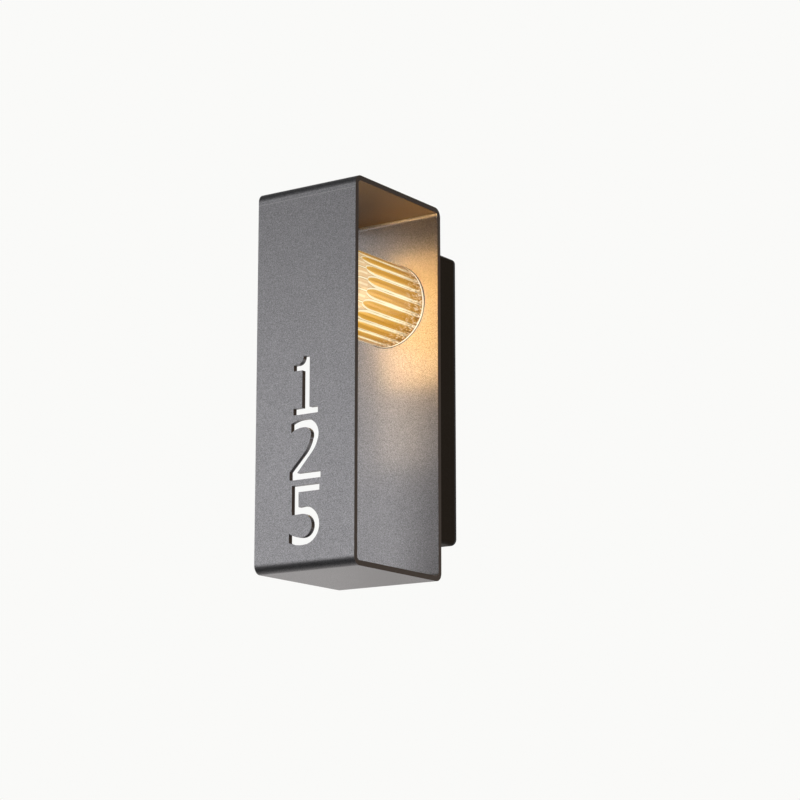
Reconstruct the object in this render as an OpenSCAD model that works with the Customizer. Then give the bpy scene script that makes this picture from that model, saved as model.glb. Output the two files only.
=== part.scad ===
// Outdoor wall light: a folded strip frame with the house number cut through its front,
// a fluted glass lamp cover between its two plates, and a slim box behind it on the wall.
// +X is to the right, the front faces -Y, +Z is up. The origin is the centre of the face
// that lies on the wall. "Out" is the distance from the wall towards the front.

/* [Frame] */
// Height of the folded frame
frame_h = 300; // [280:2:340]
// Width of the strip, which is the width of the light
frame_w = 93; // [90:1:110]
// Depth of the frame from its back plate to its front plate
frame_d = 116; // [110:1:140]
// Thickness of the strip
sheet_t = 4; // [3:0.5:4.5]
// Outside radius of the four bends
bend_r = 7; // [6:0.5:10]

/* [Numerals] */
// Height of one numeral
numeral_h = 45.5; // [36:0.5:47]
// Distance from one numeral's foot to the next one's
numeral_pitch = 49.9; // [49:0.1:54]
// Height of the lowest numeral's foot above the frame's underside
numeral_foot = 18.5; // [12:0.5:24]

/* [Wall box] */
// Width of the box
box_w = 81; // [80:1:88]
// Room in the box above the seat ring of the glass
box_top_room = 2.9; // [2.9:0.1:12]
// Depth of the box without its wall gasket
box_d = 28.5; // [28:0.5:34]
// Thickness of the box's walls
box_wall = 2.5; // [2:0.25:3]
// Radius of the box's upright corners
box_corner_r = 5; // [4:0.5:8]

/* [Glass] */
// Outside radius of the glass
glass_r = 33.6; // [33:0.1:33.9]
// Distance of the glass's axis below the frame's top
glass_drop = 74.2; // [64:0.2:84]
// Gap between the glass's closed end and the front plate
glass_gap = 14; // [13:0.5:18]
// Thickness of the glass's closed end
glass_end_t = 10; // [7:0.5:12]
// Radius of the plain bore inside the flutes
bore_r = 26; // [25.6:0.1:26.4]
// Number of flutes round the bore
flute_count = 20; // [16:1:24]
// Depth of the flutes beyond the bore
flute_depth = 2.6; // [1.5:0.1:2.8]
// Width of the plain land left between two flutes
flute_land = 1.1; // [0.8:0.1:2]
// Plain length between the flutes' ends and the closed end
flute_stop = 11.5; // [6:0.5:14]
// Radius of the long curve in which each flute runs out
flute_nose_r = 50; // [30:1:70]

/* [Lamp] */
// Radius of the lamp's envelope
lamp_r = 8; // [7:0.25:9]
// Length of the lamp's envelope
lamp_len = 38; // [30:1:44]
// Distance between the lamp's two pins
pin_gap = 9; // [8.5:0.1:9.5]

/* [Wall bracket] */
// Width of the bracket's plate
bracket_w = 56; // [50:1:64]
// Thickness of the bracket's steel
bracket_t = 2; // [1.5:0.25:2.5]
// Distance of a wall screw slot's middle from the end of the box
slot_inset = 22; // [18:1:26]
// Length of a wall screw slot, end to end
slot_len = 14; // [10:1:16]
// Half the width of a wall screw slot
slot_r = 2.5; // [2:0.25:3]
// Thickness of the foam gasket on the wall
gasket_t = 2; // [1.5:0.25:3]

/* [Hidden] */
$fn = 96;

// Overshoot of a cutter past the face that it opens
past = 1;
// Gap left between curved faces, and between pieces that slide past each other
clear = 0.3;
// Radial gap of a screw in its thread
thread_clear = 0.05;

// Depths out from the wall
box_back = gasket_t;
box_front = box_back + box_d;
box_floor = box_front - box_wall;
frame_front = box_front + frame_d;
front_in = frame_front - sheet_t;

// The glass and what it screws into
glass_h = frame_h / 2 - glass_drop;
glass_front = front_in - glass_gap;
glass_hole_r = glass_r + 2 * clear;
glass_edge_r = 3;
bore_edge_r = 4;
shoulder_in = 1.5;
glass_shoulder = box_front - shoulder_in;
neck_len = 8;
neck_step = 3.1;
neck_r = glass_r - neck_step;
neck_back = glass_shoulder - neck_len;
bore_front = glass_front - glass_end_t;
flute_front = bore_front - flute_stop;
flute_top_r = bore_r + flute_depth;
flute_half_angle = 180 / flute_count - 90 * flute_land / (PI * bore_r);
flute_axis_r = (pow(flute_top_r, 2) - pow(bore_r, 2))
    / (2 * (flute_top_r - bore_r * cos(flute_half_angle)));
// Rounded to a thousandth, so that a flute's nose meets its straight part exactly
flute_r = round((flute_top_r - flute_axis_r) * 1000) / 1000;
// The nose's long curve ends in a small round tip, a little fuller than one that just touches it
tip_share = 0.64;
flute_tip_r = tip_share * flute_r;
tip_reach = sqrt(pow(flute_nose_r - flute_tip_r, 2) - pow(flute_nose_r - flute_r, 2));
tip_touch = tip_reach * flute_nose_r / (flute_nose_r - flute_tip_r);
tip_over = 0.03;
flute_nose = tip_reach + flute_tip_r + tip_over;
// How far the first flute lies past the side of the glass, as a share of the step between two
flute_turn = 0.25;
collar_inner_r = neck_r + clear;
collar_step = 0.5;
collar_r = glass_r - collar_step;
glass_gasket_t = 1.5;
glass_gasket_step = 1;
lip_t = 2;
lip_inner_r = bore_r;
lip_back = neck_back - glass_gasket_t - lip_t;
seat_r = collar_r + clear;
seat_wall = 2.4;
seat_outer_r = seat_r + seat_wall;
seat_gasket_t = 1;
seat_front = box_floor - seat_gasket_t;
flange_t = 2.5;

// The box reaches over the seat ring, and as far below the middle as above it
box_h = 2 * (glass_h + seat_outer_r + box_top_room + box_wall);
room_w = box_w - 2 * box_wall;
room_h = box_h - 2 * box_wall;
room_corner_r = box_corner_r - box_wall;

// Weld studs of the frame, and the ears of the seat ring that three of them hold
stud_r = 2;
stud_hole_r = 2.25;
stud_len = 11.5;
ear_r = 5;
ear_reach = 41;
ear_angles = [45, 135, 270];
low_stud_x = 25;
low_stud_up = 22;
low_stud_h = -box_h / 2 + low_stud_up;
washer_r = 4.2;
washer_t = 0.8;
nut_r = 3.9;
nut_t = 3.2;

// Lamp plate, reflector, holder and lamp
plate_t = 1.2;
plate_back = lip_back - plate_t;
plate_step = 0.8;
plate_r = seat_outer_r - plate_step;
plate_screw_angles = [90, 210, 330];
plate_screw_reach = (lip_inner_r + seat_outer_r) / 2;
m3_r = 1.5;
m3_head_r = 2.75;
m3_head_t = 1.8;
holder_r = 11.5;
holder_len = 20;
holder_front = lip_back + holder_len;
holder_chamfer = 1;
pocket_depth = 8;
pocket_room = 0.5;
pocket_floor = holder_front - pocket_depth;
pin_hole_r = 2;
pin_hole_floor = 2;
pin_hole_back = lip_back + pin_hole_floor;
wire_hole_r = 1.4;
holder_screw_reach = 7.2;
holder_screw_bite = 5;
reflector_t = 0.6;
reflector_room = 0.5;
reflector_inner_r = holder_r + reflector_room;
reflector_outer_r = bore_r - reflector_room;
reflector_rise = 6.5;
reflector_foot_w = 3;
reflector_bend = 0.4;
reflector_rim_t = 1;
base_w = 15;
base_h = 10;
base_corner_r = 2;
base_gap = 0.5;
base_back = pocket_floor + base_gap;
base_block_len = 10;
base_len = 16;
base_front = base_back + base_len;
base_cup_wall = 0.6;
base_cone_step = 1;
base_cone_len = 2;
pin_w = 2.4;
pin_wire = 0.8;
pin_len = 9.5;
leaf_gap = 0.1;
leaf_t = 0.35;
leaf_len = 8;
web_t = 0.4;
board_w = 9;
board_t = 1;
board_room = 3;
board_len = lamp_len - lamp_r - board_room;
chip_w = 2.2;
chip_t = 0.7;
chip_rows = 4;
envelope_t = 0.8;

// Terminal block, its bosses, and the earth screw
block_w = 34;
block_h = 21;
block_t = 15;
block_corner_r = 1.5;
cable_rise = 47;
cable_h = -box_h / 2 + cable_rise;
block_over_cable = 32;
block_mid_h = cable_h + block_over_cable;
boss_t = 4;
boss_r = 3.5;
block_front = box_floor - boss_t;
block_back = block_front - block_t;
pole_pitch = 10.5;
pole_depth = 7;
pole_out = block_front - pole_depth;
pole_r = 2.7;
clamp_r = 2.6;
clamp_bore_r = 1.6;
clamp_len = 19;
pole_screw_rise = 5.5;
pole_screw_r = 1.5;
pole_screw_hole_r = 2.2;
pole_screw_sink = 1.2;
fixing_r = 1.2;
fixing_head_r = 2.4;
fixing_head_t = 1.8;
fixing_bite = 4;
head_room = 0.1;
lead_r = 1.2;
lead_room = 0.1;
earth_x = 28;
earth_over_block = 28;
earth_mid_h = block_mid_h + earth_over_block;
earth_boss_r = 4.5;
tag_t = 0.8;
tag_neck_w = 3;
tag_neck_sink = 1;
tag_drop = 1;
earth_boss_back = pole_out + tag_drop;
m4_r = 2;
m4_head_r = 3.6;
m4_head_t = 2.4;
earth_bite = 6;

// Bracket, clamp screws, grommet
bracket_front = box_back + bracket_t;
bracket_h = room_h - 2 * clear;
slot_pitch = box_h - 2 * slot_inset;
flange_w = 24;
flange_len = 12;
flange_front = bracket_front + flange_len;
clamp_rise = 7;
clamp_out = bracket_front + clamp_rise;
clamp_hole_r = 2.2;
notch_r = 2.25;
clamp_head_r = 3.8;
clamp_head_t = 2.6;
clamp_shank_len = 9.5;
socket_r = 1.6;
socket_depth = 1.5;
cable_r = 4;
grommet_neck_r = 10.8;
grommet_lip_r = 13.5;
grommet_lip_t = 1.5;
grommet_nose_r = 6.5;
grommet_nose_len = 4;
grommet_nose_wall = 1;
grommet_slope = 1;
slot_room = 0.5;
grommet_room = 0.2;
earth2_x = 18;
earth2_over_block = 3;
earth2_h = block_mid_h + earth2_over_block;

// A point on an arc, and a run of them
function on_arc(c, r, a) = c + r * [cos(a), sin(a)];
function arc(c, r, a0, a1, n = 14) = [for (i = [0:n]) on_arc(c, r, a0 + (a1 - a0) * i / n)];

// A flat shape, drawn as seen from the front, made t thick from the given depth outwards
module slab(out, t) {
    translate([0, -out, 0]) rotate([90, 0, 0]) linear_extrude(t) children();
}

// A solid drawn round +Z, laid on the glass's axis so that its Z is the depth out from the wall
module on_glass_axis() {
    translate([0, 0, glass_h]) rotate([90, 0, 0]) children();
}

// A ring round the glass's axis
module ring(out, t, r_in, r_out) {
    on_glass_axis() translate([0, 0, out]) difference() {
        cylinder(r = r_out, h = t);
        translate([0, 0, -past]) cylinder(r = r_in, h = t + 2 * past);
    }
}

// A pin from the wall side outwards, at one place of the front view
module out_pin(x, h, out, len, r) {
    translate([x, -out, h]) rotate([90, 0, 0]) cylinder(r = r, h = len);
}

module rounded_rect(w, h, r) {
    square([w - 2 * r, h], center = true);
    square([w, h - 2 * r], center = true);
    for (sx = [-1, 1], sy = [-1, 1]) translate([sx * (w / 2 - r), sy * (h / 2 - r)]) circle(r);
}

// Screw holes in the front wall of the box: three at the seat ring's ears, two low down
module at_ears() {
    for (a = ear_angles)
        translate([ear_reach * cos(a), 0, glass_h + ear_reach * sin(a)]) children();
}
module at_low_studs() {
    for (s = [-1, 1]) translate([s * low_stud_x, 0, low_stud_h]) children();
}

// The three numerals, drawn 45.5 high with their foot at 0 and scaled to numeral_h
drawn_h = 45.5;
stroke = 5.2;

module numeral_one() {
    cap = 45;
    foot_l = -10.6;
    foot_r = 12.4;
    stem_l = -2.5;
    stem_r = 4.4;
    flag_low = 34.2;
    flag_high = 38.9;
    flag_top_l = -1.4;
    hollow_r = cap - flag_high;
    polygon(concat(
        [[foot_l, 0], [foot_r, 0], [foot_r, stroke], [stem_r, stroke], [stem_r, cap]],
        arc([flag_top_l - hollow_r, cap], hollow_r, 0, -90),
        [[foot_l, flag_high], [foot_l, flag_low], [stem_l, flag_low], [stem_l, stroke], [foot_l, stroke]]));
}

// Its outline runs along a hook, a bowl and a leg, each an arc with a centre, a radius and an end
module numeral_two() {
    foot_l = -13.7;
    foot_r = 15.3;
    leg_low = 6.6;
    leg_foot = -6.6;
    hook = [-2, 22];
    hook_r = 24;
    hook_end = 116;
    hook_in_r = 17.8;
    hook_in_end = 126;
    bowl = [1, 33.8];
    bowl_r = 12.2;
    bowl_end = -15;
    bowl_in = [0, 33.6];
    bowl_in_r = 6.2;
    bowl_in_end = -33;
    leg = [-9, 35];
    leg_r = 22;
    leg_end = -43.7;
    leg_in = [-19.5, 37.6];
    leg_in_r = 26;
    leg_in_top = -16.5;
    leg_in_end = -45;
    polygon(concat(
        arc(hook, hook_r, hook_end, 90),
        arc(bowl, bowl_r, 90, bowl_end),
        arc(leg, leg_r, bowl_end, leg_end),
        [[leg_foot, stroke], [foot_r, stroke], [foot_r, 0], [foot_l, 0], [foot_l, leg_low]],
        arc(leg_in, leg_in_r, leg_in_end, leg_in_top),
        arc(bowl_in, bowl_in_r, bowl_in_end, 90),
        arc(hook, hook_in_r, 90, hook_in_end)));
}

// Its outline runs along a bar, a short stem, a bowl and a hook
module numeral_five() {
    cap = 45.6;
    bar_r = 14.3;
    stem_l = -11.4;
    stem_r = -5.1;
    stem_low = 23.2;
    bowl_top = 29;
    bowl = [-0.3, 14.7];
    bowl_r = 14.7;
    bowl_in = [-1.5, 14.7];
    bowl_in_r = 8.9;
    hook = [-2, 30];
    hook_r = 30;
    hook_end = -113;
    hook_in = [-1.5, 27.8];
    hook_in_r = 22;
    hook_in_end = -123.7;
    polygon(concat(
        [[bar_r, cap], [stem_l, cap], [stem_l, stem_low]],
        arc(bowl_in, bowl_in_r, 90, -90),
        arc(hook_in, hook_in_r, -90, hook_in_end),
        arc(hook, hook_r, hook_end, -90),
        arc(bowl, bowl_r, -90, 90),
        [[stem_r, bowl_top], [stem_r, cap - stroke], [bar_r, cap - stroke]]));
}

module numeral_at(step) {
    translate([0, -frame_h / 2 + numeral_foot + step * numeral_pitch])
        scale(numeral_h / drawn_h) children();
}

// The strip, folded into a ring that is open at both sides, with the house number cut out
module number_frame() {
    color("#5f5d60") difference() {
        translate([-frame_w / 2, 0, 0]) rotate([90, 0, 90]) linear_extrude(frame_w)
            translate([-box_front - frame_d / 2, 0]) difference() {
                rounded_rect(frame_d, frame_h, bend_r);
                rounded_rect(frame_d - 2 * sheet_t, frame_h - 2 * sheet_t, bend_r - sheet_t);
            }
        on_glass_axis() translate([0, 0, box_front - past])
            cylinder(r = glass_hole_r, h = sheet_t + 2 * past);
        slab(front_in - past, sheet_t + 2 * past) {
            numeral_at(2) numeral_one();
            numeral_at(1) numeral_two();
            numeral_at(0) numeral_five();
        }
    }
}

module frame_studs() {
    color("silver") {
        at_ears() out_pin(0, 0, box_front - stud_len, stud_len, stud_r);
        at_low_studs() out_pin(0, 0, box_front - stud_len, stud_len, stud_r);
    }
}

// A washer whose outer face lies at the given depth
module washer(face) {
    difference() {
        out_pin(0, 0, face - washer_t, washer_t, washer_r);
        out_pin(0, 0, face - washer_t - past, washer_t + 2 * past, stud_hole_r);
    }
}

module frame_washers() {
    color("silver") {
        at_ears() washer(seat_front - flange_t);
        at_low_studs() washer(box_floor);
    }
}

module nut(face) {
    translate([0, -face + nut_t, 0]) rotate([90, 0, 0]) difference() {
        cylinder(r = nut_r, h = nut_t, $fn = 6);
        translate([0, 0, -past]) cylinder(r = stud_r + thread_clear, h = nut_t + 2 * past);
    }
}

module frame_nuts() {
    color("silver") {
        at_ears() nut(seat_front - flange_t - washer_t);
        at_low_studs() nut(box_floor - washer_t);
    }
}

// Cast tray, open to the wall, with bosses for the terminal block and the earth screw
module wall_box() {
    color("#1c1714") difference() {
        union() {
            difference() {
                slab(box_back, box_d) rounded_rect(box_w, box_h, box_corner_r);
                slab(box_back - past, box_d - box_wall + past) rounded_rect(room_w, room_h, room_corner_r);
            }
            for (s = [-1, 1])
                out_pin(s * pole_pitch / 2, block_mid_h, block_front, boss_t + past, boss_r);
            out_pin(earth_x, earth_mid_h, earth_boss_back, box_floor - earth_boss_back + past,
                    earth_boss_r);
        }
        on_glass_axis() translate([0, 0, box_floor - past])
            cylinder(r = glass_hole_r, h = box_wall + 2 * past);
        at_ears() out_pin(0, 0, box_floor - past, box_wall + 2 * past, stud_hole_r);
        at_low_studs() out_pin(0, 0, box_floor - past, box_wall + 2 * past, stud_hole_r);
        for (s = [-1, 1])
            out_pin(s * pole_pitch / 2, block_mid_h, block_front - past, fixing_bite + past,
                    fixing_r + thread_clear);
        out_pin(earth_x, earth_mid_h, earth_boss_back - past, earth_bite + past, m4_r + thread_clear);
        // Open notches for the clamp screws, in the top and the bottom wall
        for (s = [-1, 1]) translate([0, 0, s * (box_h - box_wall) / 2]) {
            translate([0, -clamp_out, 0]) cylinder(r = notch_r, h = box_wall + 2 * past, center = true);
            translate([-notch_r, -clamp_out, -box_wall / 2 - past])
                cube([2 * notch_r, clamp_out - box_back + past, box_wall + 2 * past]);
        }
    }
}

// Outline of the seat ring's flange: a disc with an ear at each stud
module flange_outline() {
    circle(seat_outer_r);
    for (a = ear_angles) rotate(a) {
        translate([ear_reach, 0]) circle(ear_r);
        translate([0, -ear_r]) square([ear_reach, 2 * ear_r]);
    }
}

module flange_plate(out, t, r_in) {
    on_glass_axis() translate([0, 0, out]) linear_extrude(t) difference() {
        flange_outline();
        circle(r_in);
        for (a = ear_angles) rotate(a) translate([ear_reach, 0]) circle(stud_hole_r);
    }
}

module seat_gasket() {
    color("#202020") flange_plate(seat_front, seat_gasket_t, glass_hole_r);
}

// The threaded collar of the glass turns in this ring
module glass_seat_ring() {
    color("#2a2a2c") difference() {
        union() {
            flange_plate(seat_front - flange_t, flange_t, seat_r);
            ring(lip_back, seat_front - lip_back, seat_r, seat_outer_r);
            ring(lip_back, lip_t, lip_inner_r, seat_outer_r);
        }
        at_plate_screws() out_pin(0, 0, lip_back - past, lip_t + past, m3_r + thread_clear);
    }
}

module glass_gasket() {
    color("#d8d4cc") ring(lip_back + lip_t, glass_gasket_t, lip_inner_r + glass_gasket_step, collar_r);
}

module glass_collar() {
    color("#2a2a2c") ring(neck_back, neck_len - clear, collar_inner_r, collar_r);
}

// Half section of a round bar from Z 0 to len, with its far edge rounded
module rounded_end(r, len, edge_r) {
    square([r, len - edge_r]);
    square([r - edge_r, len]);
    translate([r - edge_r, len - edge_r]) circle(edge_r);
}

// Places of the flutes' axes round the bore
module at_flutes() {
    for (i = [0:flute_count - 1])
        rotate((i + flute_turn) * 360 / flute_count) translate([flute_axis_r, 0]) children();
}

// Bar that cuts one flute, and narrows in a long curve to a small round tip
module flute_cutter(len) {
    rotate_extrude($fn = 48) {
        square([flute_r, len]);
        translate([0, len]) intersection() {
            translate([flute_r - flute_nose_r, 0]) circle(flute_nose_r, $fn = 240);
            union() {
                square([flute_r, tip_touch]);
                intersection() {
                    square([flute_r, flute_nose + past]);
                    translate([0, tip_reach]) circle(flute_tip_r + tip_over);
                }
            }
        }
    }
}

// Tumbler of clear glass: a smooth outside, flutes with round ends inside, a thick closed end
module glass_shade() {
    flute_straight = flute_front - flute_nose - neck_back;
    color("#ffdf9c", 0.45) on_glass_axis() translate([0, 0, neck_back]) difference() {
        rotate_extrude() difference() {
            union() {
                square([neck_r, neck_len + past]);
                translate([0, neck_len]) rounded_end(glass_r, glass_front - glass_shoulder, glass_edge_r);
            }
            translate([0, -past]) rounded_end(bore_r, bore_front - neck_back + past, bore_edge_r);
        }
        at_flutes() translate([0, 0, -past]) flute_cutter(flute_straight + past);
    }
}

module at_plate_screws() {
    for (a = plate_screw_angles)
        translate([plate_screw_reach * cos(a), 0, glass_h + plate_screw_reach * sin(a)]) children();
}

// Screw holes of the lampholder, one above and one below the axis
module at_holder_screws() {
    for (s = [-1, 1]) translate([0, 0, glass_h + s * holder_screw_reach]) children();
}

// The two pins of the lamp, side by side on the axis
module at_pins() {
    for (s = [-1, 1]) translate([s * pin_gap / 2, 0, glass_h]) children();
}

module lamp_plate() {
    color("gainsboro") difference() {
        on_glass_axis() translate([0, 0, plate_back]) cylinder(r = plate_r, h = plate_t);
        at_plate_screws() out_pin(0, 0, plate_back - past, plate_t + 2 * past, m3_r + clear);
        at_holder_screws() out_pin(0, 0, plate_back - past, plate_t + 2 * past, m3_r + clear);
        at_pins() out_pin(0, 0, plate_back - past, plate_t + 2 * past, wire_hole_r + clear);
    }
}

// Pan-head screw, its head towards the wall with the head's seat at the given depth
module m3_screw(seat, bite) {
    out_pin(0, 0, seat - m3_head_t, m3_head_t, m3_head_r);
    out_pin(0, 0, seat - past / 2, bite + past / 2, m3_r);
}

module lamp_plate_screws() {
    color("silver") at_plate_screws() m3_screw(plate_back, plate_t + lip_t - clear);
}

module lampholder_screws() {
    color("silver") at_holder_screws() m3_screw(plate_back, plate_t + holder_screw_bite);
}

// Shallow polished dish round the lampholder
module reflector() {
    color("white") on_glass_axis() translate([0, 0, lip_back]) rotate_extrude()
        polygon([[reflector_inner_r, 0], [reflector_inner_r + reflector_foot_w, 0],
                 [reflector_outer_r, reflector_rise], [reflector_outer_r - reflector_rim_t, reflector_rise],
                 [reflector_inner_r + reflector_foot_w - reflector_bend, reflector_t],
                 [reflector_inner_r, reflector_t]]);
}

module lampholder_body() {
    color("ivory") difference() {
        on_glass_axis() translate([0, 0, lip_back]) {
            cylinder(r = holder_r, h = holder_len - holder_chamfer);
            translate([0, 0, holder_len - holder_chamfer])
                cylinder(r1 = holder_r, r2 = holder_r - holder_chamfer, h = holder_chamfer);
        }
        translate([0, 0, glass_h]) slab(pocket_floor, pocket_depth + past)
            rounded_rect(base_w + 2 * pocket_room, base_h + 2 * pocket_room, base_corner_r);
        at_pins() {
            out_pin(0, 0, pin_hole_back, pocket_floor - pin_hole_back + past, pin_hole_r);
            out_pin(0, 0, lip_back - past, pin_hole_back - lip_back + 2 * past, wire_hole_r);
        }
        at_holder_screws()
            out_pin(0, 0, lip_back - past, holder_screw_bite + 2 * past, m3_r + thread_clear);
    }
}

// Two sprung leaves on a web grip each pin
module lampholder_contacts() {
    leaf_in = pin_wire / 2 + leaf_gap;
    color("gold") at_pins() {
        slab(pin_hole_back, web_t) square([pin_w, 2 * (leaf_in + leaf_t)], center = true);
        slab(pin_hole_back, web_t + leaf_len) for (s = [-1, 1])
            translate([0, s * (leaf_in + leaf_t / 2)]) square([pin_w, leaf_t], center = true);
    }
}

module lamp_base() {
    color("white") {
        translate([0, 0, glass_h]) slab(base_back, base_block_len)
            rounded_rect(base_w, base_h, base_corner_r);
        on_glass_axis() translate([0, 0, base_back + base_block_len]) {
            cylinder(r1 = lamp_r - base_cone_step, r2 = lamp_r + base_cup_wall, h = base_cone_len);
            translate([0, 0, base_cone_len])
                cylinder(r = lamp_r + base_cup_wall, h = base_len - base_block_len - base_cone_len);
        }
    }
}

// Each pin is a loop of flat wire
module lamp_pins() {
    bend = pin_w / 2;
    color("silver") at_pins() translate([0, 0, -pin_wire / 2]) linear_extrude(pin_wire) difference() {
        union() {
            translate([0, -base_back + pin_len - bend]) circle(bend);
            translate([-bend, -base_back]) square([pin_w, pin_len - bend]);
        }
        translate([0, -base_back + pin_len - bend]) circle(bend - pin_wire);
        translate([-bend + pin_wire, -base_back - past])
            square([pin_w - 2 * pin_wire, pin_len - bend + past]);
    }
}

module lamp_board() {
    color("white") translate([-board_w / 2, -base_front - board_len, glass_h - board_t / 2])
        cube([board_w, board_len, board_t]);
}

module lamp_chips() {
    pitch = board_len / chip_rows;
    color("orange") for (row = [0:chip_rows - 1], sx = [-1, 1], side = [-1, 1])
        translate([sx * board_w / 4, -base_front - (row + 0.5) * pitch,
                   glass_h + side * (board_t + chip_t) / 2])
            cube([chip_w, chip_w, chip_t], center = true);
}

module lamp_envelope() {
    straight = lamp_len - lamp_r;
    color("#fff3d8", 0.6) on_glass_axis() translate([0, 0, base_front]) difference() {
        union() {
            cylinder(r = lamp_r, h = straight);
            translate([0, 0, straight]) sphere(lamp_r);
        }
        translate([0, 0, -lamp_r]) cylinder(r = lamp_r - envelope_t, h = straight + lamp_r);
        translate([0, 0, straight]) sphere(lamp_r - envelope_t);
    }
}

// Places of the three poles, and of the two screws in each
module at_poles() {
    for (i = [-1:1]) translate([i * pole_pitch, 0, block_mid_h]) children();
}
module at_pole_screws() {
    at_poles() for (s = [-1, 1]) translate([0, 0, s * pole_screw_rise]) children();
}

module terminal_block() {
    color("whitesmoke") difference() {
        translate([0, 0, block_mid_h]) slab(block_back, block_t)
            rounded_rect(block_w, block_h, block_corner_r);
        at_poles() translate([0, -pole_out, 0]) cylinder(r = pole_r, h = block_h + 2 * past, center = true);
        at_pole_screws() out_pin(0, 0, block_back - past, pole_out - block_back + past, pole_screw_hole_r);
        for (s = [-1, 1]) translate([s * pole_pitch / 2, 0, block_mid_h]) {
            out_pin(0, 0, block_back - past, block_t + 2 * past, fixing_r + clear);
            out_pin(0, 0, block_back - past, fixing_head_t + past, fixing_head_r + head_room);
        }
    }
}

module terminal_clamps() {
    color("goldenrod") difference() {
        at_poles() translate([0, -pole_out, 0]) cylinder(r = clamp_r, h = clamp_len, center = true);
        at_poles() translate([0, -pole_out, 0])
            cylinder(r = clamp_bore_r, h = clamp_len + 2 * past, center = true);
        at_pole_screws()
            out_pin(0, 0, pole_out - clamp_r - past, clamp_r + past, pole_screw_r + thread_clear);
    }
}

module terminal_screws() {
    top = block_back + pole_screw_sink;
    color("silver") at_pole_screws() out_pin(0, 0, top, pole_out - lead_r - lead_room - top, pole_screw_r);
}

module terminal_fixing_screws() {
    color("silver") for (s = [-1, 1]) translate([s * pole_pitch / 2, 0, block_mid_h]) {
        out_pin(0, 0, block_back, fixing_head_t, fixing_head_r);
        out_pin(0, 0, block_back + fixing_head_t - past / 2,
                block_t - fixing_head_t + past / 2 + fixing_bite - clear, fixing_r);
    }
}

// A lead is a tube of eight sides along a route of straight runs and round corners
lead_sides = 8;
corner_steps = 6;

function unit(v) = v / norm(v);
function corner(a, b, c, r) =
    let(u = unit(a - b), v = unit(c - b), half = acos(u * v) / 2, mid = b + unit(u + v) * r / sin(half),
        from = b + u * r / tan(half) - mid, to = b + v * r / tan(half) - mid, turn = 180 - 2 * half)
    [for (i = [0:corner_steps]) mid + (from * sin(turn * (1 - i / corner_steps))
        + to * sin(turn * i / corner_steps)) / sin(turn)];
function route(p, r) = let(last = len(p) - 1)
    concat([p[0]], [for (i = [1:last - 1]) each corner(p[i - 1], p[i], p[i + 1], r)], [p[last]]);
function heading(p, i) = unit(p[min(i + 1, len(p) - 1)] - p[max(i - 1, 0)]);

module lead(points, bend, side) {
    path = route(points, bend);
    rings = len(path);
    turn = 360 / lead_sides;
    skin = [for (i = [0:rings - 1]) let(t = heading(path, i), a = unit(cross(t, side)), b = cross(t, a))
        for (k = [0:lead_sides - 1]) path[i] + lead_r * (a * cos(k * turn) + b * sin(k * turn))];
    walls = [for (i = [0:rings - 2], k = [0:lead_sides - 1]) let(n = (k + 1) % lead_sides)
        [i * lead_sides + k, (i + 1) * lead_sides + k, (i + 1) * lead_sides + n, i * lead_sides + n]];
    ends = [[for (k = [0:lead_sides - 1]) k],
            [for (k = [lead_sides - 1:-1:0]) (rings - 1) * lead_sides + k]];
    polyhedron(points = skin, faces = concat(walls, ends), convexity = 6);
}

lead_bite = 3;
lead_start_h = block_mid_h + pole_screw_rise - lead_bite;
lead_bend = 4;
lead_gap = 1.5;
lead_back_out = (bracket_front + plate_back) / 2 + lead_gap;
lead_under_plate = 4;
lead_slope = 20;
rise_end_h = glass_h - plate_r - lead_under_plate;
rise_start_h = rise_end_h - lead_slope;

// From a pole of the block up behind the lamp plate and forward into the lampholder
module lamp_lead(pole, side) {
    x0 = pole * pole_pitch;
    x1 = side * pin_gap / 2;
    lead([[x0, -pole_out, lead_start_h], [x0, -pole_out, rise_start_h], [x1, -lead_back_out, rise_end_h],
          [x1, -lead_back_out, glass_h], [x1, -pin_hole_back, glass_h]], lead_bend, [1, 0, 0]);
}

module live_lead() { color("saddlebrown") lamp_lead(-1, -1); }
module neutral_lead() { color("royalblue") lamp_lead(0, 1); }

tag_barrel_gap = 0.6;
tag_barrel_end = earth_x - earth_boss_r - tag_barrel_gap;
tag_barrel_len = 4;
tag_barrel_wall = 0.6;

module earth_lead() {
    color("yellowgreen")
        lead([[pole_pitch, -pole_out, lead_start_h], [pole_pitch, -pole_out, earth_mid_h],
              [tag_barrel_end, -pole_out, earth_mid_h]], lead_bend, [0, 1, 0]);
}

module earth_tag() {
    color("silver") difference() {
        union() {
            out_pin(earth_x, earth_mid_h, earth_boss_back - tag_t, tag_t, washer_r);
            translate([tag_barrel_end - tag_neck_sink, -earth_boss_back, earth_mid_h - tag_neck_w / 2])
                cube([earth_x - tag_barrel_end + tag_neck_sink, tag_t, tag_neck_w]);
            translate([tag_barrel_end - tag_barrel_len, -pole_out, earth_mid_h]) rotate([0, 90, 0])
                cylinder(r = lead_r + lead_room + tag_barrel_wall, h = tag_barrel_len);
        }
        out_pin(earth_x, earth_mid_h, earth_boss_back - tag_t - past, tag_t + 2 * past, m4_r + clear);
        translate([tag_barrel_end - tag_barrel_len - past, -pole_out, earth_mid_h]) rotate([0, 90, 0])
            cylinder(r = lead_r + lead_room, h = tag_barrel_len + 2 * past);
    }
}

module m4_screw(seat, bite) {
    out_pin(0, 0, seat - m4_head_t, m4_head_t, m4_head_r);
    out_pin(0, 0, seat - past / 2, bite + past / 2, m4_r);
}

module earth_screw() {
    color("silver") translate([earth_x, 0, earth_mid_h])
        m4_screw(earth_boss_back - tag_t, tag_t + earth_bite - clear);
}

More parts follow.
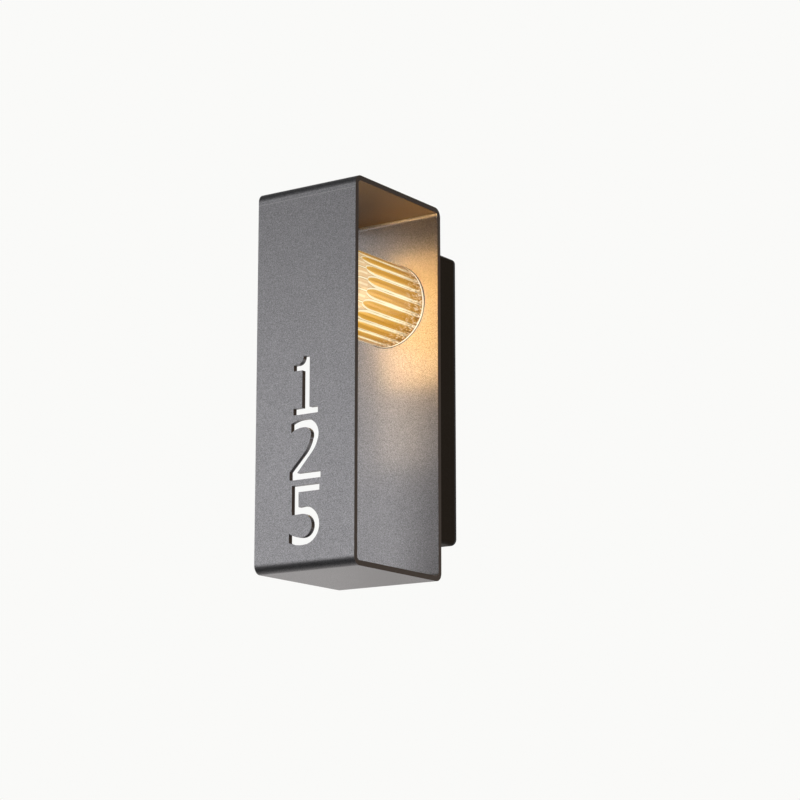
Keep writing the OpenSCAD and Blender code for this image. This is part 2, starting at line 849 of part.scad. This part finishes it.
// Steel plate with a flange folded outwards at its top and its bottom
module wall_bracket() {
    color("lightsteelblue") difference() {
        union() {
            slab(box_back, bracket_t) square([bracket_w, bracket_h], center = true);
            for (s = [-1, 1])
                translate([-flange_w / 2, -flange_front, s * (bracket_h - bracket_t) / 2 - bracket_t / 2])
                    cube([flange_w, flange_len + bracket_t / 2, bracket_t]);
        }
        wall_holes(slot_r, slot_len, bracket_front);
        out_pin(0, cable_h, box_back - past, bracket_t + 2 * past, grommet_neck_r);
        out_pin(earth2_x, earth2_h, box_back - past, bracket_t + 2 * past, m4_r + thread_clear);
        for (s = [-1, 1]) translate([0, -clamp_out, s * (bracket_h - bracket_t) / 2])
            cylinder(r = clamp_hole_r, h = bracket_t + 2 * past, center = true);
    }
}

// The two upright slots for the wall screws, cut from the wall out to the given depth
module wall_holes(r, len, out) {
    for (s = [-1, 1]) translate([0, 0, s * slot_pitch / 2]) {
        slab(-past, out + 2 * past) square([2 * r, len - 2 * r], center = true);
        for (e = [-1, 1]) out_pin(0, e * (len / 2 - r), -past, out + 2 * past, r);
    }
}

// Nuts pressed on the inner faces of the bracket's flanges
module bracket_nuts() {
    color("silver") for (s = [-1, 1]) rotate([0, s > 0 ? 0 : 180, 0])
        translate([0, -clamp_out, bracket_h / 2 - bracket_t - nut_t]) difference() {
            cylinder(r = nut_r, h = nut_t, $fn = 6);
            translate([0, 0, -past]) cylinder(r = m4_r + thread_clear, h = nut_t + 2 * past);
        }
}

module bracket_earth_screw() {
    color("silver") translate([earth2_x, 0, earth2_h]) mirror([0, 1, 0])
        translate([0, 2 * bracket_front, 0]) m4_screw(bracket_front, bracket_t - clear);
}

// Socket-head screw standing in the top notch of the box
module clamp_screw() {
    color("#333333") translate([0, -clamp_out, box_h / 2]) difference() {
        union() {
            cylinder(r = clamp_head_r, h = clamp_head_t);
            translate([0, 0, -clamp_shank_len]) cylinder(r = m4_r, h = clamp_shank_len + past);
        }
        translate([0, 0, clamp_head_t - socket_depth])
            cylinder(r = socket_r, h = socket_depth + past, $fn = 6);
    }
}

module clamp_screw_top() { clamp_screw(); }
module clamp_screw_bottom() { rotate([0, 180, 0]) clamp_screw(); }

// Rubber grommet with a lip on each face of the bracket and a nose towards the terminal block
module cable_grommet() {
    color("#262626") translate([0, 0, cable_h]) rotate([90, 0, 0]) rotate_extrude()
        polygon([[cable_r, grommet_room], [grommet_lip_r, grommet_room], [grommet_lip_r, box_back],
                 [grommet_neck_r, box_back], [grommet_neck_r, bracket_front],
                 [grommet_lip_r, bracket_front], [grommet_lip_r, bracket_front + grommet_lip_t],
                 [grommet_nose_r, bracket_front + grommet_lip_t + grommet_slope],
                 [cable_r + grommet_nose_wall, bracket_front + grommet_lip_t + grommet_nose_len],
                 [cable_r, bracket_front + grommet_lip_t + grommet_nose_len]]);
}

// Foam sheet of the box's outline between the light and the wall
module wall_gasket() {
    color("#2b2b2b") difference() {
        slab(0, gasket_t) rounded_rect(box_w, box_h, box_corner_r);
        wall_holes(slot_r + slot_room, slot_len + 2 * slot_room, gasket_t);
        out_pin(0, cable_h, -past, gasket_t + 2 * past, grommet_lip_r + clear);
    }
}

number_frame();
frame_studs();
frame_washers();
frame_nuts();
wall_box();
seat_gasket();
glass_seat_ring();
glass_gasket();
glass_collar();
glass_shade();
lamp_plate();
lamp_plate_screws();
reflector();
lampholder_body();
lampholder_contacts();
lampholder_screws();
lamp_base();
lamp_pins();
lamp_board();
lamp_chips();
lamp_envelope();
terminal_block();
terminal_clamps();
terminal_screws();
terminal_fixing_screws();
live_lead();
neutral_lead();
earth_lead();
earth_tag();
earth_screw();
wall_bracket();
bracket_nuts();
bracket_earth_screw();
clamp_screw_top();
clamp_screw_bottom();
cable_grommet();
wall_gasket();
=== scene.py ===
import math

import bpy
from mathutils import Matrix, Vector


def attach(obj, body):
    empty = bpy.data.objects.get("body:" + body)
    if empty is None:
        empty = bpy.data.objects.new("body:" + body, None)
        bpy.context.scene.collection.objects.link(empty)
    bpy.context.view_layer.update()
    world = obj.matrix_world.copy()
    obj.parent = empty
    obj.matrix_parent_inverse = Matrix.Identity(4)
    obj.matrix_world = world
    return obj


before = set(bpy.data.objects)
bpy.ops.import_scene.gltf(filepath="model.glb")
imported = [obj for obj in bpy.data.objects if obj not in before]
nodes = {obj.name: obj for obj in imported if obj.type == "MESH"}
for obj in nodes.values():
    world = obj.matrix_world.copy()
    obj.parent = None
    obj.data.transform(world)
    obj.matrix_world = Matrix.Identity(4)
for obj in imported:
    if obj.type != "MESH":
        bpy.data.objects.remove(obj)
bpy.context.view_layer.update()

# What the materials follow in the CAD model, in metres. Depths count outwards from the wall.
FRONT_Y = -0.1465
FOLD_END_Z = 0.1398
GLASS_Z = 0.0758
PLATE_OUT = 0.0345
FLUTES = 20
FLUTE_TURN = 0.25
BORE_R = 0.026
FLUTE_R = 0.003609
FLUTE_AXIS_R = 0.02499
FLUTE_END = 0.1070
# A flute narrows along its nose, on an arc of radius NOSE_R, and ends in a small round tip
NOSE_R = 0.050
TIP_R = 0.64 * FLUTE_R
TIP_REACH = math.sqrt((NOSE_R - TIP_R) ** 2 - (NOSE_R - FLUTE_R) ** 2)
NOSE_LEN = TIP_REACH + TIP_R
NOSE_START = FLUTE_END - NOSE_LEN
# The glass's fluted inside lies between the first two radii, and its outer skin past the third
INSIDE_FROM_R = 0.0150
INSIDE_TO_R = 0.0292
OUTSIDE_FROM_R = 0.0300

# Most values of a noise lie between these two
NOISE_LO = 0.3
NOISE_HI = 0.7


# ---------------------------------------------------------------- camera
def make_camera():
    """The photograph's view, from the right and from below."""
    looks_up, turned = 12.235, 34.571
    data = bpy.data.cameras.new("camera")
    data.lens = 107.73
    data.sensor_width = 36.0
    data.clip_start = 0.05
    data.clip_end = 60.0
    cam = bpy.data.objects.new("camera", data)
    cam.location = (1.06348, -1.56282, -0.40463)
    cam.rotation_euler = (math.radians(90 + looks_up), 0.0, math.radians(turned))
    bpy.context.scene.collection.objects.link(cam)
    bpy.context.scene.camera = cam


make_camera()


# ---------------------------------------------------------------- node helpers
class Tree:
    """Short names for building a node tree."""

    def __init__(self, owner, output):
        owner.use_nodes = True
        self.tree = owner.node_tree
        self.tree.nodes.clear()
        self.out = self.tree.nodes.new(output)

    def add(self, kind, **inputs):
        n = self.tree.nodes.new(kind)
        for name, value in inputs.items():
            self.set(n, name, value)
        return n

    def set(self, n, name, value):
        """Links or sets an input, which goes by its name or, as in i2, by its number."""
        numbered = name[0] == "i" and name[1:].isdigit()
        sock = n.inputs[int(name[1:])] if numbered else n.inputs[name]
        if isinstance(value, bpy.types.NodeSocket):
            self.tree.links.new(value, sock)
        else:
            sock.default_value = value

    def math(self, op, a, b=0.0):
        n = self.tree.nodes.new("ShaderNodeMath")
        n.operation = op
        self.set(n, "i0", a)
        self.set(n, "i1", b)
        return n.outputs[0]

    def plus(self, a, b):
        return self.math("ADD", a, b)

    def minus(self, a, b):
        return self.math("SUBTRACT", a, b)

    def times(self, a, b):
        return self.math("MULTIPLY", a, b)

    def larger(self, a, b):
        return self.math("MAXIMUM", a, b)

    def smaller(self, a, b):
        return self.math("MINIMUM", a, b)

    def below(self, a, b):
        return self.math("LESS_THAN", a, b)

    def above(self, a, b):
        return self.math("GREATER_THAN", a, b)

    def absolute(self, a):
        return self.math("ABSOLUTE", a)

    def root(self, a):
        return self.math("SQRT", a)

    def mix(self, share, a, b, blend="MIX"):
        n = self.tree.nodes.new("ShaderNodeMix")
        n.data_type = "RGBA"
        n.blend_type = blend
        self.set(n, "i0", share)
        self.set(n, "i6", a)
        self.set(n, "i7", b)
        return n.outputs[2]

    def tinted(self, colour, share, by):
        """The colour, multiplied by another one where the share is 1."""
        return self.mix(share, colour, self.mix(1.0, colour, by, "MULTIPLY"))

    def ramp(self, value, stops):
        n = self.tree.nodes.new("ShaderNodeValToRGB")
        while len(n.color_ramp.elements) < len(stops):
            n.color_ramp.elements.new(0.5)
        for e, (pos, colour) in zip(n.color_ramp.elements, stops):
            e.position = pos
            e.color = (*colour, 1.0)
        self.set(n, "Fac", value)
        return n.outputs["Color"]

    def noise_ramp(self, noise, lo, hi):
        return self.ramp(noise, [(NOISE_LO, lo), (NOISE_HI, hi)])

    def range(self, value, lo, hi, to_lo=0.0, to_hi=1.0, smooth=False):
        n = self.tree.nodes.new("ShaderNodeMapRange")
        n.interpolation_type = "SMOOTHSTEP" if smooth else "LINEAR"
        n.clamp = True
        for i, v in enumerate((value, lo, hi, to_lo, to_hi)):
            self.set(n, f"i{i}", v)
        return n.outputs[0]

    def noise_range(self, noise, lo, hi):
        return self.range(noise, NOISE_LO, NOISE_HI, lo, hi)

    def noise(self, vector, scale, detail=2.0, rough=0.5):
        n = self.add("ShaderNodeTexNoise", Vector=vector, Scale=scale, Detail=detail, Roughness=rough)
        return n.outputs["Fac"]

    def bump(self, height, distance, strength):
        n = self.add("ShaderNodeBump", Strength=strength, Distance=distance, Height=height)
        return n.outputs["Normal"]

    def object_coord(self):
        return self.tree.nodes.new("ShaderNodeTexCoord").outputs["Object"]

    def axes(self, vector):
        n = self.add("ShaderNodeSeparateXYZ", Vector=vector)
        return n.outputs[0], n.outputs[1], n.outputs[2]

    def stretched(self, x, y, z, across, along):
        """Coordinates with a scale of their own along Y, the way the glass points."""
        n = self.add("ShaderNodeCombineXYZ",
                     X=self.times(x, across), Y=self.times(y, along), Z=self.times(z, across))
        return n.outputs[0]

    def show_mixed(self, share, first, second):
        """The output shows the second shader by this share, and the first by the rest."""
        n = self.tree.nodes.new("ShaderNodeMixShader")
        self.set(n, "i0", share)
        self.tree.links.new(first.outputs[0], n.inputs[1])
        self.tree.links.new(second.outputs[0], n.inputs[2])
        self.tree.links.new(n.outputs[0], self.out.inputs["Surface"])


def grey(level):
    return (level, level, level)


def new_material(name):
    mat = bpy.data.materials.new(name)
    t = Tree(mat, "ShaderNodeOutputMaterial")
    shader = t.add("ShaderNodeBsdfPrincipled")
    t.tree.links.new(shader.outputs[0], t.out.inputs["Surface"])
    return mat, t, shader


# ---------------------------------------------------------------- materials
def powder_coat():
    """Fine-grained graphite coat of the frame, with a painted highlight line and painted shade."""
    mat, t, s = new_material("graphite_powder_coat")
    co = t.object_coord()
    grain = t.noise(co, 1500.0, detail=2.0, rough=0.75)
    fine = t.noise(co, 2600.0, detail=1.0, rough=0.5)
    mottle = t.noise(co, 38.0, detail=3.0, rough=0.55)
    base = t.ramp(grain, [
        (0.32, (0.150, 0.148, 0.155)), (0.50, (0.260, 0.257, 0.269)), (0.68, (0.395, 0.390, 0.408))])
    cloud = t.ramp(mottle, [(0.35, grey(0.98)), (0.65, grey(1.02))])
    col = t.mix(1.0, base, cloud, "MULTIPLY")
    nx, _, nz = t.axes(t.add("ShaderNodeNewGeometry").outputs["Normal"])
    _, y, z = t.axes(co)
    # Painted highlight: a faint pale line along the fold's end, under the top of the front
    line_half, line_faded, front_skin, line_share = 0.0001, 0.00035, 0.0003, 0.55
    line = t.range(t.absolute(t.minus(z, FOLD_END_Z)), line_half, line_faded, 1.0, 0.0)
    line = t.times(line, t.below(y, FRONT_Y + front_skin))
    col = t.mix(t.times(line, line_share), col, (0.50, 0.49, 0.50, 1))
    # Painted shade and painted warm lamp glow: the inside of the top is darkened and tinted warm
    faces_down, upper_z = -0.9, 0.10
    inner_top = t.times(t.below(nz, faces_down), t.above(z, upper_z))
    col = t.tinted(col, inner_top, (0.80, 0.60, 0.42, 1))
    # Painted shade: the strip's cut edges, which face left and right, are darkened
    side_shade = t.range(t.absolute(nx), 0.90, 0.97)
    col = t.mix(side_shade, col, (0.060, 0.043, 0.032, 1))
    t.set(s, "Base Color", col)
    t.set(s, "Metallic", 0.85)
    t.set(s, "Roughness", t.noise_range(fine, 0.34, 0.46))
    t.set(s, "Normal", t.bump(t.plus(grain, t.times(fine, 0.5)), 0.00006, 0.55))
    return mat


def satin_black():
    """Black coat of the wall box."""
    mat, t, s = new_material("satin_black_coat")
    co = t.object_coord()
    grain = t.noise(co, 2400.0, rough=0.6)
    t.set(s, "Base Color", t.noise_ramp(grain, (0.009, 0.0052, 0.0020), (0.019, 0.0115, 0.0046)))
    t.set(s, "Roughness", t.noise_range(t.noise(co, 900.0), 0.42, 0.55))
    t.set(s, "Specular IOR Level", 0.06)
    t.set(s, "Specular Tint", (1.0, 0.66, 0.36, 1))
    t.set(s, "Normal", t.bump(grain, 0.00005, 0.5))
    return mat


def metal(name, lo, hi, rough, scale=700.0):
    """Bare or plated metal, between two colours and two roughnesses."""
    mat, t, s = new_material(name)
    grain = t.noise(t.object_coord(), scale, detail=4.0, rough=0.6)
    t.set(s, "Base Color", t.noise_ramp(grain, lo, hi))
    t.set(s, "Metallic", 1.0)
    t.set(s, "Roughness", t.noise_range(grain, *rough))
    t.set(s, "Normal", t.bump(grain, 0.00002, 0.5))
    return mat


def polymer(name, lo, hi, rough, scale=900.0, bump=0.00003):
    """Plastic, rubber or ceramic, between two colours and two roughnesses, slightly clouded."""
    mat, t, s = new_material(name)
    co = t.object_coord()
    grain = t.noise(co, scale, detail=3.0, rough=0.6)
    cloud = t.noise_ramp(t.noise(co, 60.0), grey(0.92), grey(1.05))
    t.set(s, "Base Color", t.mix(1.0, t.noise_ramp(grain, lo, hi), cloud, "MULTIPLY"))
    t.set(s, "Roughness", t.noise_range(grain, *rough))
    t.set(s, "Normal", t.bump(grain, bump, 0.6))
    return mat


def inside_flute(t, x, dz, depth):
    """How far inside the nearest flute's outline a point lies, in metres; below 0 it is outside."""
    # Offset from the flute's middle, round the bore
    turn = t.math("DIVIDE", t.math("ARCTAN2", dz, x), 2 * math.pi / FLUTES)
    off = t.math("FRACT", t.plus(turn, FLUTES + 0.5 - FLUTE_TURN))
    off = t.times(t.absolute(t.minus(off, 0.5)), 2 * math.pi * BORE_R / FLUTES)
    # Radius of the flute's round bar at this depth, which shrinks along the nose
    along = t.smaller(t.larger(t.minus(depth, NOSE_START), 0.0), NOSE_LEN)
    bow = t.root(t.minus(NOSE_R ** 2, t.times(along, along)))
    bar = t.larger(t.minus(bow, NOSE_R - FLUTE_R), 0.0)
    past = t.larger(t.minus(along, TIP_REACH), 0.0)
    tip = t.root(t.larger(t.minus(TIP_R ** 2, t.times(past, past)), 0.0))
    # Before the tip, 1 m is added to its radius, which leaves it out
    before_tip = t.below(past, 0.00001)
    bar = t.smaller(bar, t.plus(tip, before_tip))
    # Half the width that this bar cuts into the bore
    half = t.minus(t.times(bar, bar), (BORE_R - FLUTE_AXIS_R) ** 2)
    half = t.root(t.larger(half, 0.0))
    return t.minus(half, off)


def painted_flute_light(t, x, y, z, depth, inward):
    """Painted lamp light in the flutes, with painted highlights on the ridges between them."""
    # The painted light runs from the ground past the flutes' ends to a flute's middle, and wavers a
    # little
    far_outside, flute_middle, waver = -0.0042, 0.0036, 0.0007
    wave = t.noise(t.stretched(x, y, z, across=900.0, along=60.0), 1.0, rough=0.6)
    place = t.plus(inward, t.times(t.minus(wave, 0.5), waver))
    flute_light = t.ramp(t.range(place, far_outside, flute_middle), [
        (0.00, (0.97, 0.80, 0.52)), (0.09, (0.97, 0.80, 0.52)), (0.14, (0.81, 0.56, 0.31)),
        (0.40, (0.84, 0.60, 0.34)), (0.460, (0.50, 0.30, 0.12)), (0.50, (1.00, 0.91, 0.66)),
        (0.61, (1.00, 0.88, 0.60)), (0.655, (0.74, 0.42, 0.070)), (0.78, (0.67, 0.34, 0.030)),
        (1.00, (0.56, 0.255, 0.012))])
    # Painted shade and highlight: towards the wall the flutes are painted darker and the ridges
    # between them brighter
    deep_reach, flute_edge = 0.055, 0.0004
    deep = t.range(depth, PLATE_OUT, PLATE_OUT + deep_reach, 1.0, 0.0)
    in_flute = t.above(inward, flute_edge)
    flute_light = t.tinted(flute_light, t.times(t.times(deep, in_flute), 0.50), (0.70, 0.55, 0.34, 1))
    flute_light = t.tinted(flute_light, t.times(deep, t.minus(1.0, in_flute)), (1.22, 1.26, 1.30, 1))
    # Close to the wall the painted light breaks up into small painted glints and dark specks
    all_glints, last_glints = -0.004, 0.026
    near = t.range(depth, PLATE_OUT + all_glints, PLATE_OUT + last_glints, 1.0, 0.0)
    glint_noise = t.noise(t.stretched(x, y, z, across=620.0, along=230.0), 1.0, rough=0.7)
    sparkle = t.ramp(glint_noise, [
        (0.38, (0.13, 0.05, 0.008)), (0.46, (0.42, 0.18, 0.030)), (0.54, (0.70, 0.35, 0.07)),
        (0.62, (1.0, 0.95, 0.78))])
    return t.mix(t.times(t.math("POWER", near, 1.2), 0.90), flute_light, sparkle)


def fluted_glass():
    """Clear wall outside; the fluted inside glows with painted lamp light."""
    mat, t, s = new_material("fluted_glass_painted_glow")
    t.set(s, "Base Color", (1.0, 0.95, 0.86, 1))
    t.set(s, "Transmission Weight", 1.0)
    t.set(s, "Roughness", 0.0)
    t.set(s, "IOR", 1.45)
    x, y, z = t.axes(t.object_coord())
    dz = t.minus(z, GLASS_Z)
    r = t.root(t.plus(t.times(x, x), t.times(dz, dz)))
    depth = t.times(y, -1.0)
    col = painted_flute_light(t, x, y, z, depth, inside_flute(t, x, dz, depth))
    inside = t.times(t.below(r, INSIDE_TO_R), t.above(r, INSIDE_FROM_R))
    outside = t.above(r, OUTSIDE_FROM_R)
    # Painted highlight: a bright line runs round the glass at the plate; painted shadow: a thin dark
    # gap behind it, wider above
    lower, upper, gap_lower, gap_upper, rim_width = -0.012, 0.006, 0.0001, 0.0009, 0.0018
    gap = t.range(dz, lower, upper, PLATE_OUT + gap_lower, PLATE_OUT + gap_upper)
    rim = t.times(t.below(depth, t.plus(gap, rim_width)), t.above(depth, gap))
    rim = t.times(rim, outside)
    seated = t.times(t.below(depth, gap), outside)
    col = t.mix(rim, col, (1.15, 1.03, 0.80, 1))
    col = t.mix(seated, col, (0.02, 0.013, 0.008, 1))
    # Painted light: the fluted inside, the rim and the seated band show as glow
    share = t.times(inside, 0.85)
    share = t.larger(share, t.times(rim, 0.90))
    share = t.larger(share, t.times(seated, 0.97))
    lamp = t.add("ShaderNodeEmission", Color=col, Strength=1.10)
    t.show_mixed(share, s, lamp)
    return mat


def glow(name, colour, strength, base, rough):
    """A part of the lamp that gives light."""
    mat, t, s = new_material(name)
    brighter = tuple(min(1.0, c * 1.06) for c in colour)
    t.set(s, "Base Color", base)
    t.set(s, "Emission Color",
          t.noise_ramp(t.noise(t.object_coord(), 500.0, detail=3.0), colour, brighter))
    t.set(s, "Emission Strength", strength)
    t.set(s, "Roughness", rough)
    return mat


def earth_sleeve():
    """Green sleeve with slanting yellow bands."""
    mat, t, s = new_material("green_yellow_sleeve")
    co = t.object_coord()
    x, y, z = t.axes(co)
    turn = t.plus(t.times(t.plus(z, x), 260.0), t.times(y, 300.0))
    band = t.above(t.math("FRACT", turn), 0.55)
    grain = t.noise(co, 900.0, detail=3.0)
    col = t.mix(band, (0.045, 0.30, 0.040, 1), (0.72, 0.60, 0.02, 1))
    t.set(s, "Base Color", t.mix(0.12, col, t.noise_ramp(grain, grey(0.0), grey(1.0)), "OVERLAY"))
    t.set(s, "Roughness", t.noise_range(grain, 0.36, 0.50))
    return mat


coat = powder_coat()
black = satin_black()
zinc = metal("zinc_plated_steel", (0.46, 0.47, 0.49), (0.68, 0.69, 0.71), rough=(0.24, 0.42))
dark_steel = metal("blackened_steel", (0.020, 0.020, 0.022), (0.060, 0.060, 0.064),
                   rough=(0.30, 0.45))
bright = metal("polished_aluminium", grey(0.82), grey(0.90), rough=(0.06, 0.14), scale=300.0)
brass = metal("brass", (0.58, 0.40, 0.14), (0.74, 0.54, 0.22), rough=(0.20, 0.36))
rubber = polymer("black_rubber", grey(0.012), grey(0.030), rough=(0.62, 0.80), scale=1400.0)
foam = polymer("closed_cell_foam", (0.022, 0.022, 0.023), (0.085, 0.085, 0.088),
               rough=(0.86, 0.96), scale=1300.0, bump=0.0002)
polymer_black = polymer("black_glass_filled_polymer", (0.018, 0.018, 0.020), (0.036, 0.036, 0.040),
                        rough=(0.38, 0.52), scale=1700.0)
silicone = polymer("milky_silicone", (0.62, 0.60, 0.56), (0.74, 0.72, 0.68), rough=(0.45, 0.60))
steatite = polymer("glazed_steatite", (0.70, 0.67, 0.58), (0.82, 0.79, 0.70),
                   rough=(0.22, 0.36), scale=420.0)
white_polymer = polymer("white_polymer", (0.70, 0.70, 0.68), (0.80, 0.80, 0.78),
                        rough=(0.34, 0.46))
board = polymer("white_solder_mask", (0.72, 0.72, 0.70), (0.82, 0.82, 0.80),
                rough=(0.30, 0.42), scale=1300.0)
live = polymer("brown_sleeve", (0.085, 0.034, 0.014), (0.125, 0.052, 0.022), rough=(0.36, 0.50))
neutral = polymer("blue_sleeve", (0.018, 0.085, 0.32), (0.030, 0.125, 0.44), rough=(0.36, 0.50))
glass = fluted_glass()
chips = glow("lit_phosphor", (1.0, 0.60, 0.22), strength=12.0, base=(0.85, 0.55, 0.10, 1),
             rough=0.45)
envelope = glow("lit_frosted_silicone", (1.0, 0.66, 0.30), strength=1.3,
                base=(0.95, 0.88, 0.74, 1), rough=0.5)
green_yellow = earth_sleeve()

FINISH = {
    "number_frame": coat, "wall_box": black,
    "frame_studs": zinc, "frame_washers": zinc, "frame_nuts": zinc,
    "seat_gasket": rubber, "glass_seat_ring": polymer_black, "glass_gasket": silicone,
    "glass_collar": polymer_black, "glass_shade": glass,
    "lamp_plate": zinc, "lamp_plate_screws": zinc, "reflector": bright,
    "lampholder_body": steatite, "lampholder_contacts": brass, "lampholder_screws": zinc,
    "lamp_base": white_polymer, "lamp_pins": zinc, "lamp_board": board, "lamp_chips": chips,
    "lamp_envelope": envelope,
    "terminal_block": white_polymer, "terminal_clamps": brass, "terminal_screws": zinc,
    "terminal_fixing_screws": zinc,
    "live_lead": live, "neutral_lead": neutral, "earth_lead": green_yellow,
    "earth_tag": zinc, "earth_screw": brass,
    "wall_bracket": zinc, "bracket_nuts": zinc, "bracket_earth_screw": brass,
    "clamp_screw_top": dark_steel, "clamp_screw_bottom": dark_steel,
    "cable_grommet": rubber, "wall_gasket": foam,
}
for name, mat in FINISH.items():
    nodes[name].data.materials.clear()
    nodes[name].data.materials.append(mat)

# The lamp's light passes through these two
nodes["glass_shade"].visible_shadow = False
nodes["lamp_envelope"].visible_shadow = False


# ---------------------------------------------------------------- floor, world and lights
def make_floor():
    """A pale disc far below, which only the camera sees."""
    radius, corners, floor_z = 9.0, 64, -1.3
    angles = [2 * math.pi * i / corners for i in range(corners)]
    verts = [(radius * math.cos(a), radius * math.sin(a), floor_z) for a in angles]
    mesh = bpy.data.meshes.new("floor")
    mesh.from_pydata(verts, [], [tuple(range(corners))])
    floor = bpy.data.objects.new("floor", mesh)
    bpy.context.scene.collection.objects.link(floor)
    mat, t, s = new_material("pale_floor")
    cloud = t.noise(t.object_coord(), 6.0, detail=3.0)
    t.set(s, "Base Color", t.noise_ramp(cloud, grey(0.10), grey(0.12)))
    t.set(s, "Emission Color", t.noise_ramp(cloud, (0.825, 0.825, 0.81), (0.83, 0.83, 0.815)))
    t.set(s, "Emission Strength", 1.0)
    t.set(s, "Roughness", 0.8)
    mesh.materials.append(mat)
    floor.visible_glossy = False
    floor.visible_diffuse = False
    floor.visible_transmission = False
    floor.visible_shadow = False


make_floor()


def make_world():
    """A soft studio, darker in front of the light than behind it. The camera sees it plain."""
    world = bpy.data.worlds.new("studio")
    bpy.context.scene.world = world
    t = Tree(world, "ShaderNodeOutputWorld")
    co = t.tree.nodes.new("ShaderNodeTexCoord").outputs["Generated"]
    _, y, z = t.axes(co)
    height = t.range(z, -1.0, 1.0)
    front = t.ramp(height, [
        (0.00, grey(0.16)), (0.07, grey(0.13)), (0.12, grey(0.01)), (0.26, grey(0.02)),
        (0.42, grey(0.16)), (0.50, (0.62, 0.61, 0.60)), (0.56, grey(0.86)), (0.64, grey(0.66)),
        (0.72, grey(0.08)), (1.00, grey(0.01))])
    back = t.ramp(height, [
        (0.00, (0.30, 0.29, 0.28)), (0.30, (0.60, 0.58, 0.56)), (0.45, (1.05, 1.00, 0.97)),
        (0.58, grey(0.70)), (0.75, grey(0.20)), (1.00, grey(0.16))])
    front_ends, back_starts = -0.10, 0.35
    sky = t.mix(t.range(y, front_ends, back_starts, smooth=True), front, back)
    light = t.add("ShaderNodeBackground", Color=sky, Strength=1.0)
    seen = t.add("ShaderNodeBackground", Color=(0.955, 0.955, 0.94, 1), Strength=1.0)
    path = t.tree.nodes.new("ShaderNodeLightPath").outputs["Is Camera Ray"]
    t.show_mixed(path, light, seen)


make_world()


def area(name, place, aim, size, power, colour=(1, 1, 1), size_y=None):
    data = bpy.data.lights.new(name, "AREA")
    data.shape = "RECTANGLE"
    data.size = size
    data.size_y = size_y or size
    data.energy = power
    data.color = colour
    o = bpy.data.objects.new(name, data)
    o.location = place
    o.rotation_euler = (Vector(aim) - Vector(place)).to_track_quat("-Z", "Y").to_euler()
    bpy.context.scene.collection.objects.link(o)
    o.visible_camera = False
    return o


def lamp_light(name, x, z, depth, wide, high, power, colour):
    """The lamp's own light on the plate behind it, which moves with the light."""
    lamp = area(name, (x, -depth, z), (x, 0.0, z), wide, power, colour, size_y=high)
    lamp.visible_transmission = False
    lamp.data.cycles.use_multiple_importance_sampling = False
    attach(lamp, "light_body")


area("key", (-1.0, -1.5, 0.13), aim=(0.0, -0.1, -0.03), size=0.7, power=2.65)
area("right_front", (1.3, -0.9, 0.1), aim=(0.0, -0.03, 0.0), size=0.9, power=2.5)
# A warm core, and two paler spills below it
lamp_light("lamp_core", x=0.005, z=0.0718, depth=0.074, wide=0.062, high=0.107, power=0.077,
           colour=(1.0, 0.55, 0.16))
lamp_light("lamp_spill", x=-0.014, z=0.024, depth=0.080, wide=0.050, high=0.142, power=0.0230,
           colour=(1.0, 0.77, 0.54))
lamp_light("low_spill", x=-0.004, z=-0.085, depth=0.095, wide=0.070, high=0.120, power=0.005,
           colour=(1.0, 0.94, 0.90))
top_back = area("top_back", (0.10, 0.40, 1.5), aim=(0.0, -0.09, 0.15), size=0.7, power=6.0)
top_back.visible_transmission = False
area("under_left", (-0.35, 0.25, -0.32), aim=(-0.03, -0.07, -0.15), size=0.20, power=0.035)

view = bpy.context.scene.view_settings
view.view_transform = "Standard"
view.look = "None"
view.exposure = 0.0
view.gamma = 1.0
